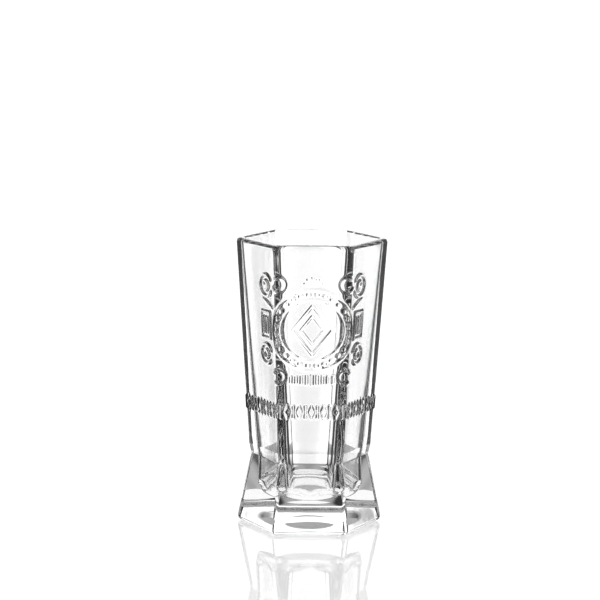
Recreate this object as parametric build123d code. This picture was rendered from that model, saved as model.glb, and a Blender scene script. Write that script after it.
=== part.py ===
from build123d import *

import os
from math import atan, cos, degrees, radians, sin

# A six-sided shot glass of pressed glass, in millimetres.
# The origin is the centre of the base, +Z is up, and the decorated flat side faces -Y,
# so that two of the six corners lie on the X axis.
# The real object is one piece of glass. Its moulded zones are kept apart here and meet
# face to face: the flared foot, the bowl, the fire-polished lip, and each raised ornament.

# Driving dimensions. A "corner radius" is the distance from the axis to a sharp corner.
HEIGHT = 90.0
BASE_RADIUS = 22.95      # corner radius of the foot where it stands
WAIST_HEIGHT = 21.8      # where the foot meets the bowl
WAIST_RADIUS = 18.7
SHOULDER_HEIGHT = 25.0   # a short steeper stretch above the waist ends here
SHOULDER_RADIUS = 19.4
RIM_RADIUS = 23.85
LIP_DEPTH = 2.6          # height of the rounded lip zone

CORNER_ROUND = 2.4       # rounding of the six upright corners of the bowl
BASE_CORNER_ROUND = 1.1  # the corners sharpen towards the bottom of the foot
WAIST_ROUND = 1.5
SHOULDER_ROUND = 2.0
BASE_ROUND = 1.0
OUTER_LIP_ROUND = 1.3
INNER_LIP_ROUND = 0.9

FLOOR_HEIGHT = 8.6       # thickness of glass under the drink
FLOOR_RADIUS = 13.02
MOUTH_RADIUS = 21.05
FLOOR_ROUND = 3.4
FLOOR_CORNER_ROUND = 3.8
MOUTH_CORNER_ROUND = 3.4

HOLLOW_RADIUS = 9.0      # shallow recess in the middle of the base
HOLLOW_DEPTH = 0.6

RELIEF = 0.45            # how far the ornament stands out of the flat sides
SINK = 0.8               # how far each ornament is carried into the wall before trimming

# The six flat sides of the bowl belong to one pyramid, whose apex lies far below.
SLOPE = (RIM_RADIUS - SHOULDER_RADIUS) / (HEIGHT - SHOULDER_HEIGHT)
APEX_HEIGHT = SHOULDER_HEIGHT - SHOULDER_RADIUS / SLOPE
SIDE_TILT = atan(SLOPE * cos(radians(30)))
SIDE_ANGLE = 2 * degrees(atan(SLOPE / 2 * cos(SIDE_TILT)))

# The ornament, in the flat pattern that the three decorated sides unroll into:
# "across" is the distance from the middle of the front, and heights are above the base.
MEDALLION_HEIGHT = 64.0
RING_RADIUS = 12.6
RING_WIDTH = 0.8
INNER_RING_RADIUS = 9.6
INNER_RING_WIDTH = 0.6
BEAD_CIRCLE = 11.1
BEAD_RADIUS = 0.7
BEAD_COUNT = 28
LOZENGE_WIDTH = 6.6
LOZENGE_HEIGHT = 8.2
LOZENGE_RIB = 0.9
SCROLL_WIDTH = 0.9
BAR_WIDTH = 0.9
PALMETTE_HEIGHT = 77.8
FRINGE_HEIGHT = 48.5
FRINGE_PITCH = 1.6
FRINGE_BARS = 9
TABLET_HEIGHT = 64.9
TABLET_FROM_CORNER = 5.8
TABLET_SIZE = (5.6, 8.8)
BAND_HEIGHT = 38.4
BAND_PITCH = 3.7
BAND_LOZENGE = (1.15, 2.3)
BAND_BAR_LENGTH = 4.4


def hexagon(corner_radius, height, corner_round):
    """A level hexagon outline with rounded corners, two of them on the X axis."""
    outline = RegularPolygon(corner_radius, 6)
    outline = fillet(outline.vertices(), corner_round)
    return (Pos(0, 0, height) * outline).face().outer_wire()


def edges_at(solid, height):
    """The edges of a solid that lie level at one height."""
    return solid.edges().filter_by_position(Axis.Z, height, height)


def outer_form():
    """The whole outside, filled: foot, waist, shoulder and flared sides."""
    form = Solid.make_loft(
        [
            hexagon(BASE_RADIUS, 0, BASE_CORNER_ROUND),
            hexagon(WAIST_RADIUS, WAIST_HEIGHT, CORNER_ROUND),
            hexagon(SHOULDER_RADIUS, SHOULDER_HEIGHT, CORNER_ROUND),
            hexagon(RIM_RADIUS, HEIGHT, CORNER_ROUND),
        ],
        ruled=True,
    )
    form = form.fillet(WAIST_ROUND, edges_at(form, WAIST_HEIGHT))
    form = form.fillet(SHOULDER_ROUND, edges_at(form, SHOULDER_HEIGHT))
    form = form.fillet(BASE_ROUND, edges_at(form, 0))
    return form.fillet(OUTER_LIP_ROUND, edges_at(form, HEIGHT))


def drink_space():
    """The inside: a hexagonal cup with a dished edge around its floor."""
    space = Solid.make_loft(
        [
            hexagon(FLOOR_RADIUS, FLOOR_HEIGHT, FLOOR_CORNER_ROUND),
            hexagon(MOUTH_RADIUS, HEIGHT, MOUTH_CORNER_ROUND),
        ],
        ruled=True,
    )
    return space.fillet(FLOOR_ROUND, edges_at(space, FLOOR_HEIGHT))


def underside_hollow():
    """A ball so large that it only takes a shallow dish out of the base."""
    ball = (HOLLOW_RADIUS**2 + HOLLOW_DEPTH**2) / (2 * HOLLOW_DEPTH)
    return Pos(0, 0, HOLLOW_DEPTH - ball) * Sphere(ball)


def plain_glass(outside):
    """The glass without its ornament, with the inner edge of the lip rounded."""
    glass = (outside - drink_space() - underside_hollow()).solid()
    top = glass.faces().sort_by(Axis.Z)[-1]
    return glass.fillet(INNER_LIP_ROUND, top.inner_wires()[0].edges())


def slab(low, high):
    """A wide block between two heights, to cut the glass into its zones."""
    width = 3 * BASE_RADIUS
    return Pos(0, 0, (low + high) / 2) * Box(width, width, high - low)


def up_pattern(height):
    """Distance from the apex, along the middle of a side, at a height above the base."""
    return (height - APEX_HEIGHT) / cos(SIDE_TILT)


def half_side(height):
    """Half the width of one flat side of the bowl."""
    return (SHOULDER_RADIUS + SLOPE * (height - SHOULDER_HEIGHT)) / 2


def side_wedge(side):
    """The sixth of the space that holds one side: -1 left, 0 front, 1 right."""
    reach = 2 * RIM_RADIUS
    outline = Polygon((0, 0), (reach, -reach * sin(radians(30)) / cos(radians(30))),
                      (reach, reach * sin(radians(30)) / cos(radians(30))), align=None)
    return Rot(0, 0, 270 + 60 * side) * extrude(outline, HEIGHT)


def side_location(side):
    """Carries the flat pattern, whose origin is the apex, onto one side of the bowl."""
    facing = radians(270 + 60 * side)
    plane = Plane(
        origin=(0, 0, APEX_HEIGHT),
        x_dir=(-sin(facing), cos(facing), 0),
        z_dir=(cos(facing) * cos(SIDE_TILT), sin(facing) * cos(SIDE_TILT), -sin(SIDE_TILT)),
    )
    return plane.location * Rot(0, 0, SIDE_ANGLE * side)


def raised(pattern, outside, sides=(-1, 0, 1)):
    """Stands a flat pattern out of the sides it crosses, mitred where it turns a corner."""
    plate = Pos(0, 0, -SINK) * extrude(pattern, SINK + RELIEF)
    pieces = []
    for side in sides:
        piece = (side_location(side) * plate) & side_wedge(side)
        pieces += piece.solids()
    whole = pieces[0].fuse(*pieces[1:]) if len(pieces) > 1 else pieces[0]
    return Compound((whole - outside).solids())


def at(across, height):
    """A place in the flat pattern."""
    return Pos(across, up_pattern(height))


def ring(radius, width):
    return Circle(radius + width / 2) - Circle(radius - width / 2)


def lozenge(half_width, half_height):
    return Polygon((half_width, 0), (0, half_height), (-half_width, 0), (0, -half_height),
                   align=None)


def upright_bar(length, width):
    return SlotOverall(length, width, rotation=90)


def curl(radius, start, sweep):
    """A rib that follows an arc about the origin, with round ends."""
    return SlotArc(CenterArc((0, 0), radius, start, sweep), SCROLL_WIDTH)


def mirrored(pattern, side):
    """The pattern as drawn for the right, or its mirror image for the left."""
    return pattern if side > 0 else mirror(pattern, Plane.YZ)


def bead_circle():
    first = 180 / BEAD_COUNT
    return gathered(PolarLocations(BEAD_CIRCLE, BEAD_COUNT, first) * Circle(BEAD_RADIUS))


def lozenge_frame():
    """Two nested outlines with a small solid lozenge in the middle."""
    outer = lozenge(LOZENGE_WIDTH, LOZENGE_HEIGHT)
    outer -= lozenge(LOZENGE_WIDTH - 1.4 * LOZENGE_RIB, LOZENGE_HEIGHT - 1.6 * LOZENGE_RIB)
    inner = lozenge(LOZENGE_WIDTH - 3 * LOZENGE_RIB, LOZENGE_HEIGHT - 3.6 * LOZENGE_RIB)
    inner -= lozenge(LOZENGE_WIDTH - 4 * LOZENGE_RIB, LOZENGE_HEIGHT - 4.8 * LOZENGE_RIB)
    return outer + inner


def palmette():
    """A fan of five leaves above the medallion."""
    leaf = Pos(0, 1.55) * Ellipse(0.55, 1.3)
    fan = leaf
    for turn in (-74, -37, 37, 74):
        fan += Rot(0, 0, turn) * leaf
    return fan


def fringe():
    """A row of upright bars that hangs below the medallion, longest in the middle."""
    row = []
    for number in range(FRINGE_BARS):
        step = number - (FRINGE_BARS - 1) / 2
        length = 3.6 - 0.25 * abs(step)
        row.append(Pos(step * FRINGE_PITCH, 0) * upright_bar(length, BAR_WIDTH))
    return row


def upper_scroll():
    """An S of two curls: a large one on the side and a small one across the corner."""
    large = at(16.9, 76.8) * (curl(3.3, -150, 290) + curl(1.4, 20, 250))
    small = at(10.6, 78.0) * curl(2.2, 60, 270)
    stem = at(15.9, 71.6) * SlotOverall(6.4, SCROLL_WIDTH, rotation=22)
    return [large, small, stem]


def lower_scroll():
    """The upper S turned over, a little smaller."""
    large = at(16.6, 55.4) * (curl(3.0, -140, 290) + curl(1.3, -270, 250))
    small = at(10.4, 49.4) * curl(2.2, -330, 270)
    return [large, small]


def tablet():
    """A plain framed plate with three upright ribs."""
    width, height = TABLET_SIZE
    plate = Rectangle(width, height) - Rectangle(width - 1.3, height - 1.3)
    ribs = [Pos(step * 1.35, 0) * upright_bar(height - 3.4, 0.7) for step in (-1, 0, 1)]
    across = TABLET_FROM_CORNER - half_side(TABLET_HEIGHT)
    return [at(across, TABLET_HEIGHT) * shape for shape in (plate, *ribs)]


def band():
    """Lozenges and bars in turn, level across one side."""
    count = 5
    row = []
    for number in range(count):
        step = number - (count - 1) / 2
        place = at(step * BAND_PITCH, BAND_HEIGHT)
        row.append(place * lozenge(*BAND_LOZENGE))
    for number in range(count + 1):
        step = number - count / 2
        place = at(step * BAND_PITCH, BAND_HEIGHT)
        row.append(place * upright_bar(BAND_BAR_LENGTH, 0.7))
    return row


def gathered(shapes):
    """One sketch out of several loose ones."""
    faces = []
    for shape in shapes:
        faces += shape.faces()
    return Sketch(Compound(faces).wrapped)


def turned_to(side, pattern):
    """A pattern drawn level on the front, swung about the apex onto another side."""
    return Rot(0, 0, -SIDE_ANGLE * side) * pattern


outside = outer_form()
glass = plain_glass(outside)
lip_start = HEIGHT - LIP_DEPTH
medallion = at(0, MEDALLION_HEIGHT)

nodes = {
    "foot": glass & slab(-1, WAIST_HEIGHT),
    "bowl": glass & slab(WAIST_HEIGHT, lip_start),
    "lip": glass & slab(lip_start, HEIGHT + 1),
    "medallion_ring": raised(medallion * ring(RING_RADIUS, RING_WIDTH), outside),
    "medallion_beads": raised(medallion * bead_circle(), outside),
    "medallion_inner_ring": raised(
        medallion * ring(INNER_RING_RADIUS, INNER_RING_WIDTH), outside, (0,)),
    "lozenge_frame": raised(medallion * lozenge_frame(), outside, (0,)),
    "palmette": raised(at(0, PALMETTE_HEIGHT) * palmette(), outside, (0,)),
    "pendant_fringe": raised(at(0, FRINGE_HEIGHT) * gathered(fringe()), outside, (0,)),
}
for side, word in ((-1, "left"), (1, "right")):
    both = (0, side)
    upper = mirrored(gathered(upper_scroll()), side)
    lower = mirrored(gathered(lower_scroll()), side)
    plate = turned_to(side, mirrored(gathered(tablet()), side))
    nodes["upper_scroll_" + word] = raised(upper, outside, both)
    nodes["lower_scroll_" + word] = raised(lower, outside, both)
    nodes["tablet_" + word] = raised(plate, outside, (side,))
rows = [raised(turned_to(side, gathered(band())), outside, (side,)) for side in (-1, 0, 1)]
nodes["band_ornament"] = Compound([solid for row in rows for solid in row.solids()])

os.makedirs("parts", exist_ok=True)
for name, shape in nodes.items():
    export_step(shape, "parts/" + name + ".step")
    print(name, len(shape.solids()), "solids", round(shape.volume, 1), "mm3")
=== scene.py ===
# %% [markdown]
# # A six-sided shot glass in clear pressed glass
#
# This lesson builds the looks of a tall souvenir shot glass: a flared foot, six flat walls that
# widen towards the lip, a thick floor and raised ornament on the three front faces. The CAD frame
# gives every height and width. The glass itself is made here as one closed skin, because clear
# glass shows every inner surface: two solids that only touch would show the seam between them.

from math import atan, atan2, cos, pi, radians, sin, tan

import bpy
import numpy as np
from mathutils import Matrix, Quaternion, Vector


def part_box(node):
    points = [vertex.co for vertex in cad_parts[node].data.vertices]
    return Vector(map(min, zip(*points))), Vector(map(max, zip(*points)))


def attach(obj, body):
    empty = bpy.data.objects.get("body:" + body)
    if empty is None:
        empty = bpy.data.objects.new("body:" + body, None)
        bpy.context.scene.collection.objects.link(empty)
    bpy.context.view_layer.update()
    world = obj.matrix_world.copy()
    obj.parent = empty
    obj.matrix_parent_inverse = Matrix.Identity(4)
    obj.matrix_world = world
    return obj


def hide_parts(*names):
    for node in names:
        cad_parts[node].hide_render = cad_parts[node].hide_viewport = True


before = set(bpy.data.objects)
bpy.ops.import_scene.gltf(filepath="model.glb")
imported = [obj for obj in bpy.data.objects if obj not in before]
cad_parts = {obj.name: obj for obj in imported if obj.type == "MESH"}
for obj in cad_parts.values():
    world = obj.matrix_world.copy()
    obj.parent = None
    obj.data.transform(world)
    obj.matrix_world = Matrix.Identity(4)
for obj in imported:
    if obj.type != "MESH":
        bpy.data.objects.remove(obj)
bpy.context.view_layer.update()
MM = 0.001
print("frame nodes:", sorted(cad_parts))

# %% [markdown]
# ## Sizes from the frame
#
# The heights come from the boxes of the foot and the lip. The widths at the base, waist, shoulder,
# rim, mouth and floor are those of the CAD model, given as the distance from the axis to a sharp
# corner. Here they are turned into apothems, the distance from the axis to the middle of a flat
# side, because a row of the skin is easiest to draw one flat side at a time.

# %% Read the main sizes, in millimetres
HEXAGON = radians(30)  # half of the angle that one side covers
BASE_CORNER = 22.95
WAIST_CORNER = 18.7
SHOULDER_CORNER = 19.4
RIM_CORNER = 23.85
MOUTH_CORNER = 21.05
FLOOR_CORNER = 13.02
SHOULDER_RISE = 3.2  # a steeper stretch between the waist and the flat walls


def box_mm(node):
    """The lowest and highest corner of a CAD node, in millimetres."""
    low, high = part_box(node)
    return np.array(low) / MM, np.array(high) / MM


height = box_mm("lip")[1][2]
waist_height = box_mm("foot")[1][2]
shoulder_height = waist_height + SHOULDER_RISE
base_apothem = BASE_CORNER * cos(HEXAGON)
waist_apothem = WAIST_CORNER * cos(HEXAGON)
shoulder_apothem = SHOULDER_CORNER * cos(HEXAGON)
rim_apothem = RIM_CORNER * cos(HEXAGON)
mouth_apothem = MOUTH_CORNER * cos(HEXAGON)
floor_apothem = FLOOR_CORNER * cos(HEXAGON)
floor_height = 8.6
hollow_radius = 9.0
hollow_depth = 0.6
print("height", round(height, 2), "waist at", round(waist_height, 2))

# %% [markdown]
# ## The profile
#
# Pressed glass has no sharp edge anywhere. A bevel could round a sharp model, but it stumbles where
# roundings of different sizes meet. So the profile is drawn first: a few straight lines in the
# plane of a flat side, with every corner between two of them replaced by an arc that touches both.

# %% A line with rounded corners
def rounded_line(points, radii, steps):
    """Corner p between lines a and b becomes an arc of radius r: it starts and ends at a distance
    r * tan(turn / 2) from p, and its points are centre + r * (unit vector swept through the turn)."""
    points = np.array(points, float)
    pieces = [points[:1]]
    for number in range(1, len(points) - 1):
        before = points[number] - points[number - 1]
        after = points[number + 1] - points[number]
        before /= np.linalg.norm(before)
        after /= np.linalg.norm(after)
        turn = atan2(before[0] * after[1] - before[1] * after[0], before @ after)
        side = np.sign(turn)
        radius = radii[number - 1]
        start = points[number] - before * radius * tan(abs(turn) / 2)
        centre = start + side * radius * np.array([-before[1], before[0]])
        spoke = start - centre
        sweep = np.linspace(0, turn, steps[number - 1] + 1)
        x = spoke[0] * np.cos(sweep) - spoke[1] * np.sin(sweep)
        y = spoke[0] * np.sin(sweep) + spoke[1] * np.cos(sweep)
        pieces.append(centre + np.stack([x, y], axis=1))
    pieces.append(points[-1:])
    return pieces


def along(start, end, count):
    """Evenly spaced points between two ends, without the ends."""
    share = np.linspace(0, 1, count + 2)[1:-1, None]
    return start + (end - start) * share


# %% The outside, from the edge of the hollow underneath up to the lip
RELIEF_LOW = 35.2
RELIEF_HIGH = 81.6
RELIEF_STEP = 0.27
# In order: edge of the base, waist, shoulder, lip outside, lip inside, edge of the cup's floor.
ARC_RADII = [1.6, 1.5, 3.0, 1.35, 1.0, 3.4]
ARC_STEPS = [8, 8, 6, 8, 7, 14]

outer_arcs = rounded_line(
    [(hollow_radius, 0), (base_apothem, 0), (waist_apothem, waist_height),
     (shoulder_apothem, shoulder_height), (rim_apothem, height), (mouth_apothem, height),
     (floor_apothem, floor_height), (0, floor_height)],
    ARC_RADII, ARC_STEPS,
)
edge, base_arc, waist_arc, shoulder_arc, lip_arc, mouth_arc, floor_arc, middle = outer_arcs
wall_low, wall_high = shoulder_arc[-1], lip_arc[0]


def on_wall(level):
    """The point of the outer wall at a height."""
    share = (level - wall_low[1]) / (wall_high[1] - wall_low[1])
    return wall_low + (wall_high - wall_low) * share


relief_rows = round((RELIEF_HIGH - RELIEF_LOW) / RELIEF_STEP)
outer_profile = np.concatenate([
    edge, along(edge[0], base_arc[0], 4), base_arc,
    along(base_arc[-1], waist_arc[0], 16), waist_arc,
    along(waist_arc[-1], shoulder_arc[0], 1), shoulder_arc,
    along(wall_low, on_wall(RELIEF_LOW), 8),
    np.linspace(on_wall(RELIEF_LOW), on_wall(RELIEF_HIGH), relief_rows + 1),
    along(on_wall(RELIEF_HIGH), wall_high, 5), lip_arc, mouth_arc,
])
inner_profile = np.concatenate([
    along(mouth_arc[-1], floor_arc[0], 44), floor_arc, along(floor_arc[-1], middle[0], 5),
])
print("profile rows: outside", len(outer_profile), "inside", len(inner_profile))

# %% [markdown]
# ## The rounded hexagon
#
# Each row of the skin is a hexagon with rounded corners. A column of the skin keeps its place on
# its side, as a share from -1 at one corner to 1 at the next, so columns run straight up the glass.
# A remesh would spread points evenly and lose the corners. Here columns stand close together only
# on the three decorated sides and around the corners, where the shape needs them.

# %% Column places
CORNER_SHARE = 0.105
CORNER_STEPS = 8
FRONT_STEPS = 66
BACK_STEPS = 6


def side_columns(steps):
    """Shares along one side: close together near both corners, the last corner left out."""
    corner = np.linspace(0, CORNER_SHARE, CORNER_STEPS + 1)[:-1]
    flat = np.linspace(CORNER_SHARE - 1, 1 - CORNER_SHARE, steps + 1)
    return np.concatenate([corner - 1, flat, (1 - corner[::-1])[:-1]])


side_number = []
side_share = []
steps_of_sides = (FRONT_STEPS,) * 3 + (BACK_STEPS,) * 3  # left, front, right, then the back three
for number, steps in zip((-1, 0, 1, 2, 3, 4), steps_of_sides):
    shares = side_columns(steps)
    side_number.append(np.full(len(shares), number))
    side_share.append(shares)
side_number = np.concatenate(side_number)
side_share = np.concatenate(side_share)
print("columns:", len(side_number))


# %% A hexagon row by formula
def hexagon_rows(profile, corner_round, share, number):
    """For apothem a, corner rounding c and share f: the flat part is a * n + f * a * tan(30) * t,
    where n points straight out of the side and t along it. Within c * tan(30) of a corner the
    point lies on an arc of radius c instead, whose centre is on the corner's own radius, and the
    arc turns in proportion to the distance from the corner. Returns the points and the level
    direction that each faces."""
    apothem = profile[:, :1]
    corner_round = np.minimum(corner_round[:, None], apothem * 0.98 + 1e-6)
    facing = radians(270) + radians(60) * number[None, :]
    from_corner = apothem * tan(HEXAGON) * (1 - np.abs(share))
    reach = corner_round * tan(HEXAGON)
    turn = HEXAGON * np.clip(1 - from_corner / reach, 0, 1)
    direction = facing + np.sign(share) * turn
    flat_x = apothem * np.cos(facing) - share * apothem * tan(HEXAGON) * np.sin(facing)
    flat_y = apothem * np.sin(facing) + share * apothem * tan(HEXAGON) * np.cos(facing)
    corner_facing = facing + np.sign(share) * HEXAGON
    centre = (apothem - corner_round) / cos(HEXAGON)
    arc_x = centre * np.cos(corner_facing) + corner_round * np.cos(direction)
    arc_y = centre * np.sin(corner_facing) + corner_round * np.sin(direction)
    on_arc = turn > 0
    x = np.where(on_arc, arc_x, flat_x)
    y = np.where(on_arc, arc_y, flat_y)
    z = np.broadcast_to(profile[:, 1:], x.shape)
    return np.stack([x, y, z], axis=-1), direction


# %% [markdown]
# ## The flat pattern
#
# The three decorated sides are faces of one pyramid, so they unroll into a flat sheet around its
# apex. Ornament is drawn on that sheet with distance formulas: each gives the distance from a
# point to the edge of a shape, negative inside it.

# %% Unroll the sides
slope = (rim_apothem - shoulder_apothem) / (height - shoulder_height)
apex_height = shoulder_height - shoulder_apothem / slope
side_tilt = atan(slope)
side_angle = 2 * atan(slope * tan(HEXAGON) * cos(side_tilt))


def up_sheet(level):
    """Distance from the apex along the middle of a side, at a height."""
    return (level - apex_height) / cos(side_tilt)


print("one side covers", round(side_angle / HEXAGON * 30, 2), "degrees of the sheet")


def unroll(profile, share, number):
    """Across and up on the flat sheet: the point on its own side, swung about the apex by the
    side's number times the angle of one side. The last two values are the point before that."""
    across = share * profile[:, :1] * tan(HEXAGON)
    up = up_sheet(profile[:, 1:]) + 0 * across
    swing = -side_angle * number
    return (across * np.cos(swing) - up * np.sin(swing),
            across * np.sin(swing) + up * np.cos(swing), across, up)


# %% Distance formulas
def ring_distance(x, y, radius, width):
    """How far the distance from the centre is from the radius, less half the width."""
    return np.abs(np.hypot(x, y) - radius) - width / 2


def arc_distance(x, y, radius, start, sweep, width):
    """Turned so the arc's middle lies along x: beside the arc, as for a ring; past its ends, the
    distance to the end point."""
    middle_angle = radians(start + sweep / 2)
    half = radians(sweep / 2)
    u = x * cos(middle_angle) + y * sin(middle_angle)
    v = np.abs(y * cos(middle_angle) - x * sin(middle_angle))
    beside = np.abs(np.hypot(u, v) - radius)
    past = np.hypot(u - radius * cos(half), v - radius * sin(half))
    return np.where(np.arctan2(v, u) <= half, beside, past) - width / 2


def bar_distance(x, y, length, width, angle=90):
    """Distance to a straight line of length - width, less half the width: a bar with round ends."""
    turn = radians(angle)
    u = np.abs(x * cos(turn) + y * sin(turn)) - (length - width) / 2
    v = y * cos(turn) - x * sin(turn)
    return np.hypot(np.maximum(u, 0), v) - width / 2


def lozenge_distance(x, y, half_width, half_height):
    """|x| / w + |y| / h - 1, scaled by w * h / hypot(w, h) so that it counts millimetres."""
    scale = half_width * half_height / np.hypot(half_width, half_height)
    return (np.abs(x) / half_width + np.abs(y) / half_height - 1) * scale


def plate_distance(x, y, width, length):
    """Distance to a rectangle: outside its corners the straight distance to the corner."""
    u, v = np.abs(x) - width / 2, np.abs(y) - length / 2
    return np.hypot(np.maximum(u, 0), np.maximum(v, 0)) + np.minimum(np.maximum(u, v), 0)


def outline(distance, width):
    """A line of a given width just inside an edge."""
    return np.maximum(distance, -distance - width)


# %% [markdown]
# ## The ornament
#
# On the glass the ornament is a medallion that runs over two corners, curls and ribbed tablets on
# both sides of it, and a belt below. It could be modelled as separate ribs and joined, but clear
# glass would show every join. Drawn as distances, shapes merge by taking the smaller distance.

# %% Where the ornament sits
PALMETTE_HEIGHT = 77.8
TABLET_HEIGHT = 64.9

medallion_low, medallion_high = box_mm("medallion_ring")
medallion_height = (medallion_low[2] + medallion_high[2]) / 2
band_low, band_high = box_mm("band_ornament")
band_height = (band_low[2] + band_high[2]) / 2
fringe_low, fringe_high = box_mm("pendant_fringe")
fringe_height = (fringe_low[2] + fringe_high[2]) / 2
print("medallion at", round(medallion_height, 1), "band at", round(band_height, 1))

# %% The medallion
RING = (12.6, 0.8)  # radius and width
INNER_RING = (9.6, 0.6)
BEADS = 28
BEAD_CIRCLE = 11.1
BEAD_RADIUS = 0.7
LOZENGE = (6.6, 8.2)  # half width and half height
LOZENGE_LINE = 0.75
INNER_LOZENGE = (3.9, 4.95)
INNER_LOZENGE_LINE = 0.6


def medallion(x, y):
    """Two rings with a circle of beads between them, around nested lozenges."""
    y = y - up_sheet(medallion_height)
    bead_step = 2 * pi / BEADS
    angle = np.mod(np.arctan2(y, x), bead_step) - bead_step / 2
    reach = np.hypot(x, y)
    bead = np.hypot(reach * np.cos(angle) - BEAD_CIRCLE, reach * np.sin(angle)) - BEAD_RADIUS
    frame_line = outline(lozenge_distance(x, y, *LOZENGE), LOZENGE_LINE)
    inner_line = outline(lozenge_distance(x, y, *INNER_LOZENGE), INNER_LOZENGE_LINE)
    return np.minimum.reduce([
        ring_distance(x, y, *RING), ring_distance(x, y, *INNER_RING), bead, frame_line, inner_line,
    ])


print("medallion:", BEADS, "beads")

# %% The palmette above it and the fringe below
LEAF_ANGLES = (-74, -37, 0, 37, 74)
LEAF = (2.6, 1.0)  # length and width
LEAF_REACH = 1.55
FRINGE_STEP = 1.6
FRINGE_WIDTH = 0.9
FRINGE_LENGTH = 3.6
FRINGE_TAPER = 0.25  # how much shorter each bar is than the one nearer the middle


def palmette(x, y):
    """Five leaves, each a bar that is fanned about the same foot."""
    y = y - up_sheet(PALMETTE_HEIGHT)
    leaves = []
    for angle in LEAF_ANGLES:
        turn = radians(angle)
        u = x * cos(turn) + y * sin(turn)
        v = y * cos(turn) - x * sin(turn)
        leaves.append(bar_distance(u, v - LEAF_REACH, *LEAF))
    return np.minimum.reduce(leaves)


def fringe(x, y):
    """Nine upright bars."""
    y = y - up_sheet(fringe_height)
    step = np.clip(np.round(x / FRINGE_STEP), -4, 4)
    bar_x = x - step * FRINGE_STEP
    u = np.abs(y) - (FRINGE_LENGTH - FRINGE_TAPER * np.abs(step) - FRINGE_WIDTH) / 2
    return np.hypot(bar_x, np.maximum(u, 0)) - FRINGE_WIDTH / 2


print("palmette:", len(LEAF_ANGLES), "leaves")

# %% The scrolls and the tablets
CURL_WIDTH = 0.9
TABLET = (5.6, 8.8)  # width and height
TABLET_LINE = 0.65
TABLET_FROM_CORNER = 5.8
RIB = (5.4, 0.7)  # length and width
RIB_STEP = 1.35
FAR_AWAY = 9.0  # a distance that leaves the wall plain


def scrolls(x, y):
    """The curls on both sides, drawn for the right and mirrored by |x|."""
    x = np.abs(x)

    def curl(across, level, radius, start, sweep):
        return arc_distance(x - across, y - up_sheet(level), radius, start, sweep, CURL_WIDTH)

    return np.minimum.reduce([
        curl(16.9, 76.8, 3.3, -150, 290), curl(16.9, 76.8, 1.4, 20, 250),
        curl(10.6, 78.0, 2.2, 60, 270),
        bar_distance(x - 15.9, y - up_sheet(71.6), 6.4, CURL_WIDTH, 22),
        curl(16.6, 55.4, 3.0, -140, 290), curl(16.6, 55.4, 1.3, -270, 250),
        curl(10.4, 49.4, 2.2, -330, 270),
    ])


def tablets(across, up, number):
    """Framed plates with three ribs, level on the two slanting sides only."""
    half = (shoulder_apothem + slope * (TABLET_HEIGHT - shoulder_height)) * tan(HEXAGON)
    x = across * number + half - TABLET_FROM_CORNER
    y = up - up_sheet(TABLET_HEIGHT)
    plate = outline(plate_distance(x, y, *TABLET), TABLET_LINE)
    rib = bar_distance(x - np.clip(np.round(x / RIB_STEP), -1, 1) * RIB_STEP, y, *RIB)
    return np.where(np.abs(number) == 1, np.minimum(plate, rib), FAR_AWAY)


print("tablets:", TABLET, "mm")

# %% The band
BAND_STEP = 3.7
BAND_LOZENGE = (1.15, 2.3)  # half width and half height
BAND_BAR = (4.4, 0.7)  # length and width


def band(across, up):
    """Lozenges and upright bars in turn, level on each side."""
    y = up - up_sheet(band_height)
    x = across - np.clip(np.round(across / BAND_STEP), -2, 2) * BAND_STEP
    lozenges = lozenge_distance(x, y, *BAND_LOZENGE)
    x = across - (np.clip(np.round(across / BAND_STEP - 0.5), -3, 2) + 0.5) * BAND_STEP
    return np.minimum(lozenges, bar_distance(x, y, *BAND_BAR))


print("band: a lozenge every", BAND_STEP, "mm")

# %% [markdown]
# ## The swell of the ornament
#
# The ornament stands about half a millimetre out of the wall. Molten glass never fills the sharp
# bottom of a mould's engraving, so each rib is a soft swell: its height grows from nothing at its
# edge by the smooth step 3t^2 - 2t^3.

# %% Height of the ornament
RELIEF = 0.48
SWELL = 0.8


def relief_height(profile, share, number):
    """RELIEF times the smooth step of how deep inside a shape the point lies."""
    x, y, across, up = unroll(profile, share, number)
    distance = np.minimum.reduce([
        medallion(x, y), palmette(x, y), fringe(x, y), scrolls(x, y),
        tablets(across, up, number), band(across, up),
    ])
    depth = np.clip(0.5 - distance / SWELL, 0, 1)
    swell = RELIEF * depth * depth * (3 - 2 * depth)
    inside = (profile[:, 1:] > RELIEF_LOW) & (profile[:, 1:] < RELIEF_HIGH) & (number <= 1)
    return np.where(inside, swell, 0)


# %% [markdown]
# ## The skin
#
# The outside and the inside of a glass are one surface that turns over at the lip. Solidify would
# give a wall of one thickness, but this wall is thin at the rim and thick at the floor. So both
# sides are worked out from their own profiles: the outside with its ornament and the shallow recess
# underneath, and the inside with the slow waves that a plunger leaves as the glass cools.

# %% Slow waves of the inside
WAVES = 5
WAVE_TURN = 0.14  # how fast the waves turn, in radians for each millimetre
WAVE_DEPTH = 0.12
WAVE_SEED = 7


def settle(points, direction):
    """WAVE_DEPTH times the mean of a few sines of the place, along the level facing direction."""
    draw = np.random.default_rng(WAVE_SEED)
    wave = 0
    for _ in range(WAVES):
        pull = draw.normal(0, WAVE_TURN, 3)
        wave = wave + np.sin(points @ pull + draw.uniform(0, 2 * pi))
    push = WAVE_DEPTH * wave / WAVES
    return points + push[..., None] * np.stack(
        [np.cos(direction), np.sin(direction), 0 * direction], axis=-1)


# %% The outside
BOWL_CORNER_ROUND = 2.4
FOOT_CORNER_ROUND = 1.1  # the corners sharpen towards the bottom of the foot
GROUND = 0.02  # rows below this height lie flat on the table

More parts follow.
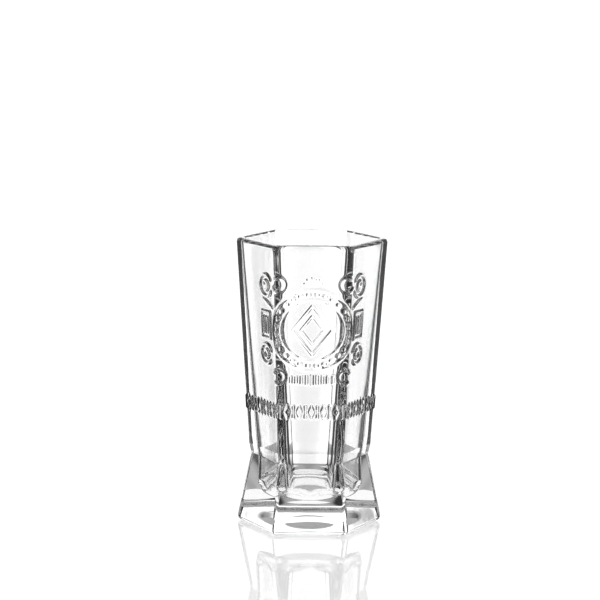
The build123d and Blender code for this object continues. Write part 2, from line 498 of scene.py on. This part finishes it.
foot_share = np.clip(1 - outer_profile[:, 1] / waist_height, 0, 1)
outer_round = BOWL_CORNER_ROUND + (FOOT_CORNER_ROUND - BOWL_CORNER_ROUND) * foot_share
outer_points, outer_facing = hexagon_rows(outer_profile, outer_round, side_share, side_number)
level = outer_profile[:, 1:]
ground = level < GROUND
from_hollow = (outer_profile[:, :1] - hollow_radius) / (base_apothem - hollow_radius)
circle_share = np.clip(from_hollow, 0, 1)
angle = np.arctan2(outer_points[..., 1], outer_points[..., 0])
circle = np.stack([outer_profile[:, :1] * np.cos(angle), outer_profile[:, :1] * np.sin(angle),
                   0 * angle], axis=-1)
blend = np.where(ground, circle_share, 1)[..., None]
between = circle * (1 - blend) + outer_points * blend
outer_points = np.where(ground[..., None], between, outer_points)
swell = relief_height(outer_profile, side_share, side_number)
outer_points[..., 0] += swell * np.cos(outer_facing)
outer_points[..., 1] += swell * np.sin(outer_facing)
print("ornament stands up to", round(float(swell.max()), 2), "mm proud")

# %% The recess underneath
# A dish cut by a large ball whose centre lies below the table: its height is sqrt(R^2 - r^2) less
# the depth of that centre.
dish_radius = np.linspace(0, hollow_radius, 12)[1:-1]
ball = (hollow_radius**2 + hollow_depth**2) / (2 * hollow_depth)
dish_level = np.sqrt(ball**2 - dish_radius**2) - (ball - hollow_depth)
first_angle = np.arctan2(outer_points[0, :, 1], outer_points[0, :, 0])
dish_points = np.stack([dish_radius[:, None] * np.cos(first_angle),
                        dish_radius[:, None] * np.sin(first_angle),
                        dish_level[:, None] + 0 * first_angle], axis=-1)
outside = np.concatenate([dish_points, outer_points])
print("recess", hollow_depth, "mm deep, cut by a ball of radius", round(ball, 1), "mm")

# %% The inside
MOUTH_CORNER_ROUND = 3.4
FLOOR_CORNER_ROUND = 3.8
FULLY_ROUND = 30  # rounder than a row can be, so it becomes nearly a circle

inner_share = side_share[::2]
inner_number = side_number[::2]
depth_share = np.clip((inner_profile[:, 1] - floor_height) / (height - floor_height), 0, 1)
inner_round = FLOOR_CORNER_ROUND + (MOUTH_CORNER_ROUND - FLOOR_CORNER_ROUND) * depth_share
inner_round = np.where(inner_profile[:, 0] < floor_arc[0][0], FULLY_ROUND, inner_round)
inside_points, inner_facing = hexagon_rows(inner_profile[:-1], inner_round[:-1], inner_share,
                                           inner_number)
inside_points = settle(inside_points, inner_facing)
print("outside", outside.shape, "inside", inside_points.shape)


# %% [markdown]
# ## One closed mesh
#
# Light bends the right way only through a closed skin whose faces all point outwards. The rows are
# joined by four-sided faces, each end is closed at its pole by a fan, and nothing is left to merge
# or turn round afterwards.

# %% Stitch the rows into one closed mesh
def stitch(outside, inside, bottom, top):
    """Quads between rows of equal length, a fan at each pole, and three triangles for every two
    columns where the outside's rows meet the inside's half as many."""
    rows, columns = outside.shape[:2]
    inner_rows, inner_columns = inside.shape[:2]
    index = np.arange(rows * columns).reshape(rows, columns)
    inner_index = rows * columns + np.arange(inner_rows * inner_columns)
    inner_index = inner_index.reshape(inner_rows, inner_columns)
    bottom_index = rows * columns + inner_rows * inner_columns
    top_index = bottom_index + 1

    def quads(grid):
        right = np.roll(grid, -1, axis=1)
        return np.stack([grid[:-1], right[:-1], right[1:], grid[1:]], axis=-1).reshape(-1, 4)

    def fan(row, pole, outward):
        right = np.roll(row, -1)
        around = np.full(len(row), pole)
        order = [right, row, around] if outward else [row, right, around]
        return np.stack(order, axis=-1)

    even, odd, next_even = index[-1, ::2], index[-1, 1::2], np.roll(index[-1, ::2], -1)
    low, next_low = inner_index[0], np.roll(inner_index[0], -1)
    seam = np.concatenate([
        np.stack([even, odd, low], axis=-1), np.stack([odd, next_even, next_low], axis=-1),
        np.stack([odd, next_low, low], axis=-1),
    ])
    triangles = np.concatenate([fan(index[0], bottom_index, True),
                                fan(inner_index[-1], top_index, False), seam])
    four = np.concatenate([quads(index), quads(inner_index)])
    points = np.concatenate([outside.reshape(-1, 3), inside.reshape(-1, 3), [bottom], [top]])
    return points, four.tolist() + triangles.tolist()


# %% Make the glass
points, faces = stitch(outside, inside_points, (0, 0, hollow_depth), (0, 0, floor_height))
mesh = bpy.data.meshes.new("pressed_glass")
mesh.from_pydata((points * MM).tolist(), [], faces)
mesh.shade_smooth()
mesh.validate()
glass = bpy.data.objects.new("pressed_glass", mesh)
bpy.context.scene.collection.objects.link(glass)
triangle_count = sum(len(face) - 2 for face in faces)
print("glass:", len(points), "points,", triangle_count, "triangles")
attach(glass, "root")
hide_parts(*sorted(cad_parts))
glass.visible_diffuse = False  # the table isn't shaded by it, as in bright even light

# %% [markdown]
# ## Clear pressed glass
#
# The glass is colourless, so the finish is all in how it bends light. It could be a flat clear
# shader, but pressed glass is never quite even: the fire-polished skin keeps slow ripples, fingers
# leave faint smears, and the ring it stands on is scuffed by tables. Each of the three is a noise
# pattern in the object's own coordinates, so it stays on the glass when the glass is moved.

# %% The clear finish
GLASS_BENDING = 1.52  # refractive index of soda-lime glass
material = bpy.data.materials.new("clear_pressed_glass")
material.use_nodes = True
glass_nodes = material.node_tree.nodes
glass_links = material.node_tree.links
shader = glass_nodes["Principled BSDF"]
shader.inputs["Base Color"].default_value = (1, 1, 1, 1)
shader.inputs["IOR"].default_value = GLASS_BENDING
shader.inputs["Transmission Weight"].default_value = 1.0
mesh.materials.append(material)
place_on_glass = glass_nodes.new("ShaderNodeTexCoord").outputs["Object"]
print("finish:", material.name, "bends light by", GLASS_BENDING)


# %% Helpers for patterns on the glass
def cloudy(scale, detail):
    """Noise between 0 and 1 whose clouds are about 1 / scale of a metre across."""
    node = glass_nodes.new("ShaderNodeTexNoise")
    node.inputs["Scale"].default_value = scale
    node.inputs["Detail"].default_value = detail
    glass_links.new(place_on_glass, node.inputs["Vector"])
    return node.outputs["Fac"]


def stretched(source, from_low, from_high, to_low, to_high):
    """Straight-line change of one range of numbers to another, held at both ends."""
    node = glass_nodes.new("ShaderNodeMapRange")
    node.inputs["From Min"].default_value = from_low
    node.inputs["From Max"].default_value = from_high
    node.inputs["To Min"].default_value = to_low
    node.inputs["To Max"].default_value = to_high
    glass_links.new(source, node.inputs["Value"])
    return node.outputs["Result"]


def joined(operation, first, second):
    """Two patterns put together by one sum."""
    node = glass_nodes.new("ShaderNodeMath")
    node.operation = operation
    glass_links.new(first, node.inputs[0])
    glass_links.new(second, node.inputs[1])
    return node.outputs["Value"]


# %% Smears from fingers, and the scuffed ring underneath
SMEAR = 0.018         # roughness in the middle of a smear
SCUFF = 0.10          # roughness where the base is worn
SCUFF_HEIGHT = 0.0005  # wear reaches this far up the rounded edge, in metres

smears = stretched(cloudy(70, 3), 0.52, 0.75, 0.0, SMEAR)
height_on_glass = glass_nodes.new("ShaderNodeSeparateXYZ")
glass_links.new(place_on_glass, height_on_glass.inputs[0])
worn = stretched(height_on_glass.outputs["Z"], 0.0, SCUFF_HEIGHT, 1.0, 0.0)
scuffs = joined("MULTIPLY", worn, stretched(cloudy(900, 4), 0.5, 0.72, 0.0, SCUFF))
glass_links.new(joined("MAXIMUM", smears, scuffs), shader.inputs["Roughness"])
print("roughness: smears up to", SMEAR, "and scuffs up to", SCUFF)

# %% Ripples of the fire-polished skin
RIPPLE_HEIGHT = 0.00002  # metres

ripples = glass_nodes.new("ShaderNodeBump")
ripples.inputs["Distance"].default_value = RIPPLE_HEIGHT
ripples.inputs["Strength"].default_value = 1.0
glass_links.new(cloudy(240, 1), ripples.inputs["Height"])
glass_links.new(ripples.outputs["Normal"], shader.inputs["Normal"])
print("ripples", RIPPLE_HEIGHT / MM, "mm high")

# %% [markdown]
# ## The table
#
# The glass stands on white acrylic, which is glossy enough to show it upside down. One flat sheet
# does it. The sheet lies a hair below the base, because two surfaces in the same place flicker.
# Rays that leave through the glass don't meet it: they meet the light tent's cloth, just above it.

# %% The floor
FLOOR_SIZE = 4.0
FLOOR_DROP = 0.00005
FLOOR_TONE = 0.80
FLOOR_ROUGHNESS = 0.03

floor_mesh = bpy.data.meshes.new("table_top")
floor_corners = [(-1, -1), (1, -1), (1, 1), (-1, 1)]
floor_mesh.from_pydata(
    [(x * FLOOR_SIZE, y * FLOOR_SIZE, -FLOOR_DROP) for x, y in floor_corners], [], [(0, 1, 2, 3)])
table_top = bpy.data.objects.new("table_top", floor_mesh)
bpy.context.scene.collection.objects.link(table_top)
table_top.visible_transmission = False
acrylic = bpy.data.materials.new("white_acrylic")
acrylic.use_nodes = True
acrylic_shader = acrylic.node_tree.nodes["Principled BSDF"]
acrylic_shader.inputs["Base Color"].default_value = (FLOOR_TONE, FLOOR_TONE, FLOOR_TONE, 1)
acrylic_shader.inputs["Roughness"].default_value = FLOOR_ROUGHNESS
acrylic_shader.inputs["IOR"].default_value = 1.5
floor_mesh.materials.append(acrylic)
print("table:", 2 * FLOOR_SIZE, "m square")

# %% [markdown]
# ## The light
#
# A pale studio is even light from all round, so the background of the scene is plain white. Clear
# glass in even light all but vanishes, though. Studios that shoot glass set it in a round tent of
# white cloth with strips of black cloth between the white ones: the flat sides look through to
# white, and the rounded corners gather the black into the dark lines that draw the shape. Real
# cloth would also show on the table, so this tent is a cheat: only light that comes out of the
# glass finds it, and it lights nothing else.

# %% Even light
WORLD_LIGHT = 1.25

world = bpy.data.worlds.new("studio")
bpy.context.scene.world = world
world.use_nodes = True
background = world.node_tree.nodes["Background"]
background.inputs["Color"].default_value = (1, 1, 1, 1)
background.inputs["Strength"].default_value = WORLD_LIGHT
print("even light", WORLD_LIGHT)

# %% The strips of the tent
# Each stop is a bearing in degrees, counted both ways from straight behind the glass, and how
# bright the cloth is there. White strips at every 45 degrees keep the glass bright from all round.
BEHIND = ((0, 1.07), (3, 1.10), (7, 1.3), (13, 1.3), (17, 1.0))
BESIDE = BEHIND + ((19.5, 0.10), (31, 0.10))
TABLE_STRIPS = BESIDE + (
    (37, 0.9), (39, 1.2), (58, 1.2), (60, 0.06), (78, 0.06), (80, 1.2), (104, 1.2), (106, 0.3),
    (110, 0.3), (112, 1.25), (157, 1.25), (159, 0.3), (163, 0.3), (165, 1.25), (180, 1.25))
WALL_STRIPS = BESIDE + (
    (37, 0.55), (39, 1.15), (49, 1.15), (51, 0.06), (81, 0.06), (83, 1.3), (97, 1.3),
    (99, 0.08), (126, 0.08), (128, 1.3), (142, 1.3), (144, 0.08), (171, 0.08), (173, 1.3),
    (180, 1.3))
# Light that is thrown back inside the glass first finds fewer white strips. Real cloth can't do
# that either: it keeps the outer edges of the glass dark.
TURNED_STRIPS = BEHIND + (
    (19.5, 0.02), (31, 0.02), (37, 0.55), (39, 1.15), (49, 1.15), (51, 0.02), (180, 0.02))
# Painted shadow: the cloth on the table is grey near the foot. A share of the tent's radius, and a
# brightness.
PAINTED_SHADE_BY_REACH = ((0.08, 0.4), (0.112, 0.4), (0.13, 0.92), (0.3, 0.95), (1, 1.04))
BRIGHTEST = 1.5
UNDER_FOOT = 1.0
ROOF = 0.5
print("strips:", len(WALL_STRIPS), "stops")


# %% Cloth that shines
def shining(name, strength):
    """A material that only gives light."""
    cloth = bpy.data.materials.new(name)
    cloth.use_nodes = True
    tree = cloth.node_tree
    tree.nodes.clear()
    glow = tree.nodes.new("ShaderNodeEmission")
    glow.inputs["Strength"].default_value = strength
    output = tree.nodes.new("ShaderNodeOutputMaterial")
    tree.links.new(glow.outputs[0], output.inputs["Surface"])
    return cloth, tree, glow


def tent_math(tree, operation, first, second=None, number=0.5):
    """One sum on one or two sockets, or on a socket and a number."""
    node = tree.nodes.new("ShaderNodeMath")
    node.operation = operation
    node.inputs[1].default_value = number
    tree.links.new(first, node.inputs[0])
    if second is not None:
        tree.links.new(second, node.inputs[1])
    return node.outputs[0]


def either(tree, choice, first, second):
    """The first colour where the choice is 0, and the second where it is 1."""
    node = tree.nodes.new("ShaderNodeMix")
    node.data_type = "RGBA"
    for source, socket in ((choice, "Factor"), (first, "A"), (second, "B")):
        tree.links.new(source, node.inputs[socket])
    return node.outputs["Result"]


def ramp(tree, stops, whole, source):
    """Brightness along a scale that ends at whole, with straight lines between the stops."""
    node = tree.nodes.new("ShaderNodeValToRGB")
    elements = node.color_ramp.elements
    elements[0].position = stops[0][0] / whole
    elements[1].position = stops[-1][0] / whole
    for place_on_scale, _ in stops[1:-1]:
        elements.new(place_on_scale / whole)
    for element, (_, tone) in zip(elements, stops):
        level = tone / BRIGHTEST
        element.color = (level, level, level, 1)
    tree.links.new(source, node.inputs[0])
    return node.outputs[0]


# %% The striped cloth
TENT_RADIUS = 0.5
TENT_HEIGHT = 0.2
TENT_DROP = 0.00002  # the cloth lies this far below the base, and so just above the acrylic
TENT_GAP = 0.0005  # radius of a pinhole at the axis, so that no face there has zero width
FOOT_PAPER = 0.025  # radius of the plain white paper under the foot

striped, tree, glow = shining("striped_cloth", 1.0)
place = tree.nodes.new("ShaderNodeTexCoord").outputs["Object"]
split = tree.nodes.new("ShaderNodeSeparateXYZ")
tree.links.new(place, split.inputs[0])
sideways = tent_math(tree, "ABSOLUTE", split.outputs["X"])
bearing = tent_math(tree, "ARCTAN2", sideways, split.outputs["Y"])
bearing_share = tent_math(tree, "DIVIDE", bearing, number=pi)
path = tree.nodes.new("ShaderNodeLightPath")
thrown_back = tent_math(tree, "GREATER_THAN", path.outputs["Glossy Depth"], number=0.5)
on_wall_cloth = tent_math(tree, "GREATER_THAN", split.outputs["Z"], number=0.001)
strips = either(tree, on_wall_cloth, ramp(tree, TABLE_STRIPS, 180, bearing_share),
                ramp(tree, WALL_STRIPS, 180, bearing_share))
strips = either(tree, thrown_back, strips, ramp(tree, TURNED_STRIPS, 180, bearing_share))
tree.links.new(strips, glow.inputs["Color"])
distance = tree.nodes.new("ShaderNodeVectorMath")
distance.operation = "LENGTH"
tree.links.new(place, distance.inputs[0])
# Painted shadow of the glass around the foot: the cloth's brightness set by its distance from the
# axis.
reach_share = tent_math(tree, "DIVIDE", distance.outputs["Value"], number=TENT_RADIUS)
strength_with_painted_shade = tent_math(tree, "MULTIPLY", ramp(tree, PAINTED_SHADE_BY_REACH, 1, reach_share), number=BRIGHTEST**2)
tree.links.new(strength_with_painted_shade, glow.inputs["Strength"])
print("striped cloth made of", len(tree.nodes), "nodes")


# %% The tent itself
def tent_piece(name, profile, cloth):
    """Profile points (r, z) swept round the axis: (r sin a, r cos a, z)."""
    angles = np.linspace(0, 2 * pi, 73)[:-1]
    reach, lift = np.array(profile).T
    rows = np.stack([reach[:, None] * np.sin(angles), reach[:, None] * np.cos(angles),
                     lift[:, None] + 0 * angles], axis=-1)
    grid = np.arange(rows.shape[0] * rows.shape[1]).reshape(rows.shape[:2])
    right = np.roll(grid, -1, axis=1)
    quads = np.stack([grid[:-1], right[:-1], right[1:], grid[1:]], axis=-1)
    cloth_mesh = bpy.data.meshes.new(name)
    cloth_mesh.from_pydata(rows.reshape(-1, 3).tolist(), [], quads.reshape(-1, 4).tolist())
    cloth_mesh.materials.append(cloth)
    piece = bpy.data.objects.new(name, cloth_mesh)
    bpy.context.scene.collection.objects.link(piece)
    piece.visible_camera = False
    piece.visible_diffuse = False
    piece.visible_glossy = False
    piece.visible_shadow = False
    print(name, "has", len(quads.reshape(-1, 4)), "faces")


tent_piece("tent_under", [(TENT_GAP, -TENT_DROP), (FOOT_PAPER, -TENT_DROP)],
           shining("paper_under_the_foot", UNDER_FOOT)[0])
tent_piece("tent_wall", [(FOOT_PAPER, -TENT_DROP), (TENT_RADIUS, -TENT_DROP),
                         (TENT_RADIUS, TENT_HEIGHT)], striped)
tent_piece("tent_roof", [(TENT_RADIUS, TENT_HEIGHT), (TENT_GAP, TENT_HEIGHT)],
           shining("tent_roof", ROOF)[0])

# %% [markdown]
# ## The camera
#
# The camera stands 0.7 m away, a hand's breadth above the rim and a little to the left of the
# middle. A short lens close by would spread the upright lines, and a long one keeps them nearly
# parallel. The picture's gamma deepens the greys of the glass and leaves white as it is.

# %% The camera
CAMERA_BACK = 0.700
CAMERA_HEIGHT = 0.181
CAMERA_AZIMUTH = radians(-1.2)
CAMERA_ROLL = radians(0.6)
LENS = 136.75
AIM_RIGHT = -0.00357
AIM_HEIGHT = 0.07025

camera_data = bpy.data.cameras.new("camera")
camera_data.lens = LENS
camera_data.sensor_width = 36
camera = bpy.data.objects.new("camera", camera_data)
bpy.context.scene.collection.objects.link(camera)
bpy.context.scene.camera = camera
back = Vector((sin(CAMERA_AZIMUTH), -cos(CAMERA_AZIMUTH), 0))
right = Vector((cos(CAMERA_AZIMUTH), sin(CAMERA_AZIMUTH), 0))
camera.location = back * CAMERA_BACK + Vector((0, 0, CAMERA_HEIGHT))
aim = right * AIM_RIGHT + Vector((0, 0, AIM_HEIGHT))
look = (aim - camera.location).to_track_quat("-Z", "Y")
camera.rotation_mode = "QUATERNION"
camera.rotation_quaternion = look @ Quaternion((0, 0, 1), CAMERA_ROLL)
print("camera", [round(number, 3) for number in camera.location])

# %% The picture
PICTURE_GAMMA = 0.68
GLASS_BOUNCES = 32

scene = bpy.context.scene
scene.view_settings.view_transform = "Standard"
scene.view_settings.gamma = PICTURE_GAMMA
scene.cycles.max_bounces = GLASS_BOUNCES
scene.cycles.transmission_bounces = GLASS_BOUNCES
scene.cycles.glossy_bounces = GLASS_BOUNCES // 2
scene.cycles.use_denoising = True
print("light may turn", GLASS_BOUNCES, "times")
